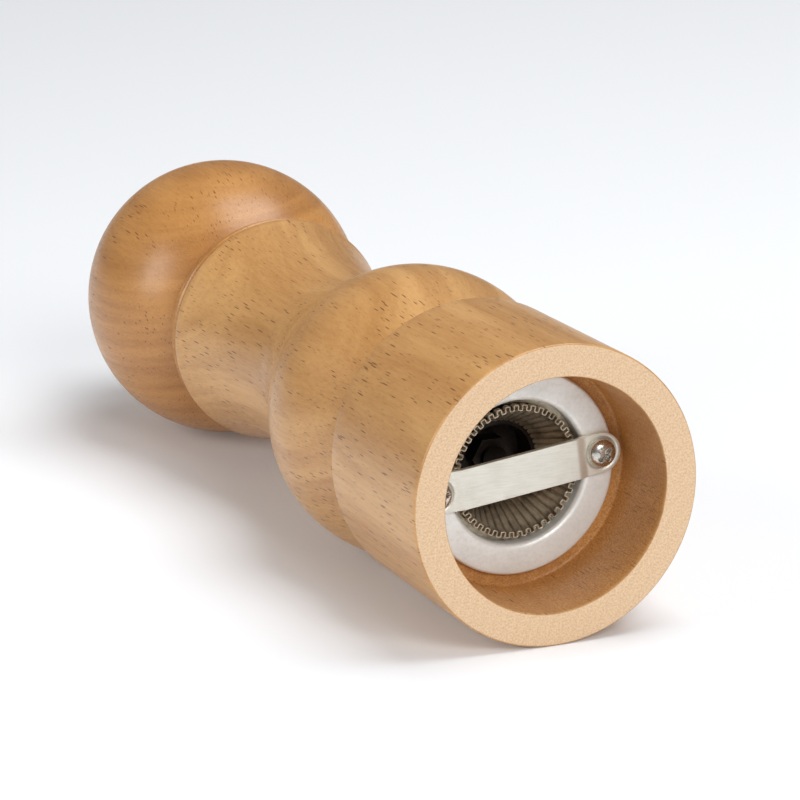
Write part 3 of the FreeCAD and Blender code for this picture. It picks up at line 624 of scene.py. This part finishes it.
def ray_flecks(n, radius, turn, z, seed):
    """Thin dark lenses along the grain, in loose groups, with smaller and fainter ones between."""
    near = n.cells(stretched(n, (turn, radius, z), (2.3, 0.8, 0.15), seed))
    group = n.noise(stretched(n, (turn, radius, z), (0.12, 0.12, 0.05)), 1.0, 1.0)
    reach = n.range(group, 0.36, 0.60, 0.12, 0.26)
    large = n.math("SUBTRACT", 1.0, n.math("DIVIDE", near, reach), clamp=True)
    large = n.range(large, 0.05, 0.5, 0.0, 0.85)
    small = n.cells(stretched(n, (turn, radius, z), (3.4, 1.2, 0.28), seed + 7))
    return n.math("MAXIMUM", large, n.range(small, 0.08, 0.26, 0.36, 0.0))


def inside_recess(n, x, y, z):
    """1 on the walls and the floor of the recess under the base, 0 elsewhere."""
    away = n.vector("LENGTH", n.join(x, y, 0.0))
    within = n.range(away, RECESS_MOUTH + 0.15, RECESS_MOUTH + 0.55, 1.0, 0.0)
    above_mouth = n.range(z, 0.25, 0.9)
    below_floor = n.range(z, RECESS_DEPTH + 1.3, RECESS_DEPTH + 3.3, 1.0, 0.0)
    return n.math("MULTIPLY", within, n.math("MULTIPLY", above_mouth, below_floor))


def beech(name, light, dark, fleck, pith, seed, end_grain, recess=None):
    """Turned beech: growth rings round a distant pith, fibres along Z, and short dark ray flecks.

    pith is the (x, y) of the tree's centre in millimetres. end_grain and recess are three colours
    each, light, dark and darkest: of the surfaces that face along Z, and of the hollow under the base.
    On the surfaces that face along Z the speckle and pores are the end grain's own; the body's lighter
    end grain tone is also painted light, for the front light on the base's end face.
    """
    n = Nodes(name)
    place = n.position()
    x, y, z = n.split(place)[:3]
    radius, turn = place_in_tree(n, x, y, pith)
    late = late_wood(n, x, y, z, radius, seed)
    tone = n.noise(stretched(n, (x, y, z), (0.09, 0.09, 0.02), seed * 2), 1.0, 3.0, 0.55)
    fibre = n.noise(stretched(n, (turn, radius, z), (2.2, 2.2, 0.10), seed), 1.0, 4.0, 0.65)
    fine = n.noise(stretched(n, (turn, radius, z), (6.0, 6.0, 0.5), seed), 1.0, 2.0, 0.6)
    band = n.noise(stretched(n, (radius, turn, z), (0.34, 0.035, 0.014), seed * 3))
    shade = weighted_sum(n, (n.range(tone, 0.3, 0.7), 0.24), (n.range(fibre, 0.3, 0.72), 0.22),
                         (n.range(band, 0.36, 0.64), 0.36), (late, 0.09), (n.range(fine, 0.35, 0.7), 0.12))
    facing = n.math("ABSOLUTE", n.split(n.normal())[2])
    end = n.range(facing, 0.86, 0.97)
    flecks = n.math("MULTIPLY", ray_flecks(n, radius, turn, z, seed), n.range(end, 0.0, 1.0, 1.0, 0.25))
    colour = n.mix(flecks, n.mix(shade, light, dark), fleck)

    speckle = n.noise(n.vector("SCALE", place, scale=2.6), 1.0, 3.0, 0.7)
    pores = n.cells(place, 2.4)
    # End grain's own speckle and pores; on the body its lighter tone is also painted light on the end face.
    end_colour = n.mix(n.range(speckle, 0.35, 0.68), end_grain[0], end_grain[1])
    end_colour = n.mix(n.range(pores, 0.10, 0.34, 0.22, 0.0), end_colour, end_grain[2])
    end_colour = n.mix(n.math("MULTIPLY", late, 0.06), end_colour, end_grain[2])
    colour = n.mix(end, colour, end_colour)

    rough = n.range(fibre, 0.3, 0.7, LACQUER_ROUGHNESS, LACQUER_ROUGHNESS + 0.10)
    rough = n.math("ADD", rough, n.math("MULTIPLY", end, 0.25))
    if recess is not None:
        inside = inside_recess(n, x, y, z)
        inner = n.mix(n.range(speckle, 0.35, 0.7), recess[0], recess[1])
        inner = n.mix(n.math("MULTIPLY", shade, 0.6), inner, recess[1])
        inner = n.mix(flecks, inner, recess[2])
        colour = n.mix(inside, colour, inner)
        rough = n.math("ADD", rough, n.math("MULTIPLY", inside, 0.15))
    n.set("Base Color", colour)
    n.set("Roughness", rough)
    n.set("IOR", 1.5)
    n.set("Coat Weight", 0.25)
    n.set("Coat Roughness", 0.22)
    height = weighted_sum(n, (fine, 0.5), (flecks, -0.8))
    n.set("Normal", n.bump(height, 0.25, 0.06))
    return n.material


def satin_metal(name, colour, dark, roughness, brush=(1.0, 1.0, 1.0), wear=0.3, bump=0.15,
                shade_below=None, metallic=1.0):
    """Plated sheet metal: fine brushed streaks, faint stains and small dark specks.

    shade_below is a height in millimetres under which the metal is painted near black: painted shade
    for the dark throat. metallic below 1 stands for a dull, oxidised plating.
    """
    n = Nodes(name)
    place = n.position()
    streak = n.noise(n.vector("MULTIPLY", place, brush), 1.0, 3.0, 0.6)
    stain = n.noise(place, 0.28, 3.0, 0.6)
    speck = n.range(n.cells(place, 0.55), 0.02, 0.12, 1.0, 0.0)
    tint = n.mix(n.math("MULTIPLY", n.range(stain, 0.42, 0.75), wear), colour, dark)
    tint = n.mix(n.math("MULTIPLY", n.range(streak, 0.35, 0.75), 0.22), tint, dark)
    tint = n.mix(n.math("MULTIPLY", speck, wear * 0.8), tint, dark)
    # Painted shade: the metal turns near black below that height, where the throat is dark.
    if shade_below is not None:
        height = n.split(place)[2]
        tint = n.mix(n.range(height, shade_below, shade_below + 1, 1.0, 0.0), tint, (0.02, 0.016, 0.014, 1))
    n.set("Base Color", tint)
    n.set("Metallic", metallic)
    rough = n.math("ADD", n.range(streak, 0.3, 0.7, roughness - 0.06, roughness + 0.06),
                   n.range(stain, 0.4, 0.8, 0.0, 0.08))
    n.set("Roughness", rough)
    n.set("Normal", n.bump(streak, bump, 0.02))
    return n.material


def nylon(name):
    """Natural nylon: slightly translucent off white with a faint moulded mottle."""
    n = Nodes(name)
    mottle = n.noise(n.position(), 0.9, 3.0, 0.6)
    n.set("Base Color", n.mix(n.range(mottle, 0.3, 0.7), linear(232, 228, 214), linear(214, 208, 190)))
    n.set("Subsurface Weight", 0.15)
    n.set("Subsurface Scale", 0.001)
    n.set("Roughness", n.range(mottle, 0.3, 0.7, 0.42, 0.52))
    n.set("Normal", n.bump(mottle, 0.1, 0.03))
    return n.material


# ---------------------------------------------------------------- pieces

def give(piece, body, slot, material, *nodes):
    """Finish a new piece: its material, the body it moves with and the CAD nodes it stands for."""
    piece.data.materials.clear()
    piece.data.materials.append(material)
    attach(piece, body)
    if nodes:
        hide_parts(*nodes)
    return piece


def paint(node, material):
    """Give a CAD node that keeps its shape a new material."""
    mesh = frame["nodes"][node].data
    mesh.materials.clear()
    mesh.materials.append(material)


def make_materials():
    return {
        "body_wood": beech("body_beech", linear(216, 167, 106), linear(173, 120, 64),
                           linear(104, 62, 26), (57.0, 42.0), 3.0,
                           # The speckle is the wood's own; the lighter tone is painted light on the base's
                           # end face.
                           end_grain=(linear(238, 206, 168), linear(218, 180, 140), linear(180, 138, 96)),
                           recess=(linear(214, 158, 92), linear(172, 114, 56), linear(104, 62, 28))),
        "head_wood": beech("head_beech", linear(206, 149, 84), linear(162, 106, 50),
                           linear(120, 70, 34), (8.0, 85.0), 11.0,
                           end_grain=(linear(206, 150, 98), linear(176, 118, 70), linear(140, 90, 52))),
        "flange_steel": satin_metal("zinc_flange", (0.96, 0.97, 0.94, 1), (0.60, 0.61, 0.56, 1),
                                    0.46, (1.5, 1.5, 0.4), 0.16, 0.08, metallic=0.42),
        "bar_steel": satin_metal("satin_bar", (0.85, 0.83, 0.74, 1), (0.55, 0.53, 0.45, 1),
                                 0.44, (0.4, 5.0, 5.0), 0.12, 0.08, metallic=0.8),
        "screw_steel": satin_metal("bright_screw", (0.66, 0.63, 0.58, 1), (0.30, 0.27, 0.23, 1),
                                   0.24, (2.0, 2.0, 2.0), 0.3),
        "burr_steel": satin_metal("dark_burr", (0.62, 0.54, 0.41, 1), (0.18, 0.14, 0.10, 1),
                                  0.42, (1.2, 1.2, 1.2), 0.7, 0.4, metallic=0.7),
        # Near black for the hub and the nut: painted shade for the dark throat inside the burr.
        "throat_shade_black": satin_metal("painted_throat_shade", (0.05, 0.04, 0.035, 1), (0.015, 0.012, 0.010, 1),
                                    0.5, (1.2, 1.2, 1.2), 0.6, 0.3),
        # The shaft's end inside the throat is painted near black as shade.
        "shaft_steel": satin_metal("drawn_shaft", (0.60, 0.60, 0.59, 1), (0.30, 0.29, 0.28, 1),
                                   0.34, (4.0, 4.0, 0.15), 0.15, shade_below=31.0),
        "spring_steel": satin_metal("spring_wire", (0.52, 0.52, 0.53, 1), (0.25, 0.25, 0.26, 1),
                                    0.30, (1.5, 1.5, 1.5), 0.2),
        "knob_metal": satin_metal("nickel_knob", (0.82, 0.80, 0.76, 1), (0.50, 0.48, 0.44, 1),
                                  0.20, (0.6, 0.6, 6.0), 0.08, 0.08),
        "washer_nylon": nylon("nylon_washer"),
    }


def make_pieces(materials):
    body = lathe("turned_body", body_outline())
    give(body, "mill_body", "body_wood", materials["body_wood"], "body")
    head = lathe("turned_head", head_outline())
    give(head, "head_group", "head_wood", materials["head_wood"], "head")
    flange = lathe("rolled_flange", flange_outline())
    give(flange, "mill_body", "flange_steel", materials["flange_steel"], "flange_ring")
    give(make_bar(), "mill_body", "bar_steel", materials["bar_steel"], "retaining_bar")
    builder = bmesh.new()
    add_screw(builder, 1)
    add_screw(builder, -1)
    screws = add_object("domed_screws", builder, 40)
    give(screws, "mill_body", "screw_steel", materials["screw_steel"], "bar_screws")
    give(make_burr(), "spindle", "burr_steel", materials["burr_steel"], "male_burr")
    slots = {s["node"]: s["material_slot"] for s in frame["record"]["subparts"]}
    replaced = ("body", "head", "flange_ring", "retaining_bar", "bar_screws", "male_burr")
    for node, piece in frame["nodes"].items():
        if node in replaced:
            continue
        # The hub and the nut take the throat's painted shade, a near black.
        material = "throat_shade_black" if node in ("burr_hub", "shaft_nut") else slots[node]
        paint(node, materials[material])
        piece.data.shade_smooth()
        piece.data.set_sharp_from_angle(angle=math.radians(30))


# ---------------------------------------------------------------- studio

CAMERA_LENS = 302.8  # millimetres on a 36 mm sensor
CAMERA_AXIS_ANGLE = 29.75  # degrees between the line of sight and the mill's axis
CAMERA_ROUND = 34.74  # degrees of that line round the axis, from +X
CAMERA_POSITION = Vector((-513.6, -356.5, -1027.6)) * MM
STUDIO_UP = Vector((0, -1, 0))
STUDIO_RIGHT = Vector((0.905, 0, -0.425))
STUDIO_DEEP = Vector((0.425, 0, 0.905))  # away from the camera, along the floor
STUDIO_MIDDLE = Vector((0, 0, 0.08))
FLOOR_GAP = 0.1 * MM
FLOOR_SIZE = 12.0
SURROUND_STRENGTH = 0.18


def make_camera():
    """The long studio lens: the mill's base towards the viewer and its head away, -Y up."""
    tilt = math.radians(CAMERA_AXIS_ANGLE)
    turn = math.radians(CAMERA_ROUND)
    sight = Vector((math.sin(tilt) * math.cos(turn), math.sin(tilt) * math.sin(turn), math.cos(tilt)))
    right = sight.cross(STUDIO_UP).normalized()
    up = right.cross(sight)
    data = bpy.data.cameras.new("studio_camera")
    data.sensor_width = 36
    data.lens = CAMERA_LENS
    data.clip_start = 0.05
    data.clip_end = 30
    camera = bpy.data.objects.new("studio_camera", data)
    camera.matrix_world = Matrix.Translation(CAMERA_POSITION) @ Matrix(
        (right, up, -sight)).transposed().to_4x4()
    bpy.context.scene.collection.objects.link(camera)
    bpy.context.scene.camera = camera


def stage_material(name, colour, glow):
    """White paper, lit a little from within, that shows only from its front and hides nothing."""
    n = Nodes(name)
    tree = n.tree
    n.set("Base Color", colour)
    n.set("Roughness", 0.9)
    n.set("Specular IOR Level", 0.0)
    n.set("Emission Color", (1, 1, 1, 1))
    n.set("Emission Strength", glow)
    clear = tree.nodes.new("ShaderNodeBsdfTransparent")
    side = tree.nodes.new("ShaderNodeNewGeometry").outputs["Backfacing"]
    choose = tree.nodes.new("ShaderNodeMixShader")
    tree.links.new(side, choose.inputs[0])
    tree.links.new(n.shader.outputs[0], choose.inputs[1])
    tree.links.new(clear.outputs[0], choose.inputs[2])
    tree.links.new(choose.outputs[0], n.output.inputs[0])
    return n.material


def make_sheet_of_paper(name, centre, normal, size, material):
    """A square stage plane whose front faces along normal."""
    builder = bmesh.new()
    bmesh.ops.create_grid(builder, x_segments=1, y_segments=1, size=size / 2)
    mesh = bpy.data.meshes.new(name)
    builder.to_mesh(mesh)
    builder.free()
    mesh.materials.append(material)
    sheet = bpy.data.objects.new(name, mesh)
    turn = Vector(normal).to_track_quat("Z", "Y").to_matrix().to_4x4()
    sheet.matrix_world = Matrix.Translation(centre) @ turn
    bpy.context.scene.collection.objects.link(sheet)
    return sheet


def make_floors():
    """The floor that the mill lies on, along its +Y side, and one under the standing mill.

    The second shows only to the camera, so that it neither shades nor lights the first.
    """
    paper = stage_material("white_paper", (0.86, 0.88, 0.91, 1), 0.07)
    slope = (BEAD_RADIUS - BALL_RADIUS) / (BALL_HEIGHT - BEAD_HEIGHT)
    normal = Vector((0, -1, -slope))
    touch = Vector((0, BEAD_RADIUS * MM + FLOOR_GAP, BEAD_HEIGHT * MM))
    make_sheet_of_paper("lying_floor", touch, normal, FLOOR_SIZE, paper)
    under = Vector((0, 0, -FLOOR_GAP))
    standing = make_sheet_of_paper("standing_floor", under, (0, 0, 1), FLOOR_SIZE, paper)
    for kind in ("diffuse", "glossy", "transmission", "volume_scatter", "shadow"):
        setattr(standing, f"visible_{kind}", False)


def add_light(name, place, aim, size, power, spread=180):
    """A soft box of so many metres and watts, aimed at a point, with its beam's spread in degrees."""
    data = bpy.data.lights.new(name, "AREA")
    data.shape = "RECTANGLE"
    data.size, data.size_y = size
    data.energy = power
    data.spread = math.radians(spread)
    lamp = bpy.data.objects.new(name, data)
    lamp.location = place
    lamp.rotation_mode = "QUATERNION"
    lamp.rotation_quaternion = (Vector(aim) - Vector(place)).to_track_quat("-Z", "Y")
    lamp.visible_camera = False
    bpy.context.scene.collection.objects.link(lamp)


def studio_place(right, up, deep):
    """A place so many metres to the right of, above and beyond the middle of the mill."""
    return STUDIO_MIDDLE + STUDIO_RIGHT * right + STUDIO_UP * up + STUDIO_DEEP * deep


def make_lights():
    """A pale surround with three soft boxes: a large one overhead, one at the left, one in front."""
    world = bpy.data.worlds.new("studio_surround")
    world.use_nodes = True
    backdrop = world.node_tree.nodes["Background"]
    backdrop.inputs["Color"].default_value = (1, 1, 1, 1)
    backdrop.inputs["Strength"].default_value = SURROUND_STRENGTH
    bpy.context.scene.world = world
    key = studio_place(0.35, 1.05, 0.05)
    left = studio_place(-0.85, 0.42, -0.35)
    front = studio_place(0.45, 0.70, -1.00)
    base = Vector((0, 0, 0))
    add_light("key_box", key, STUDIO_MIDDLE, (0.8, 0.8), 9.5)
    add_light("left_box", left, base, (0.6, 0.4), 0.62, spread=70)
    add_light("front_box", front, STUDIO_MIDDLE, (0.6, 0.5), 6.6)


bpy.context.scene.view_settings.view_transform = "Standard"
make_camera()
make_pieces(make_materials())
make_floors()
make_lights()
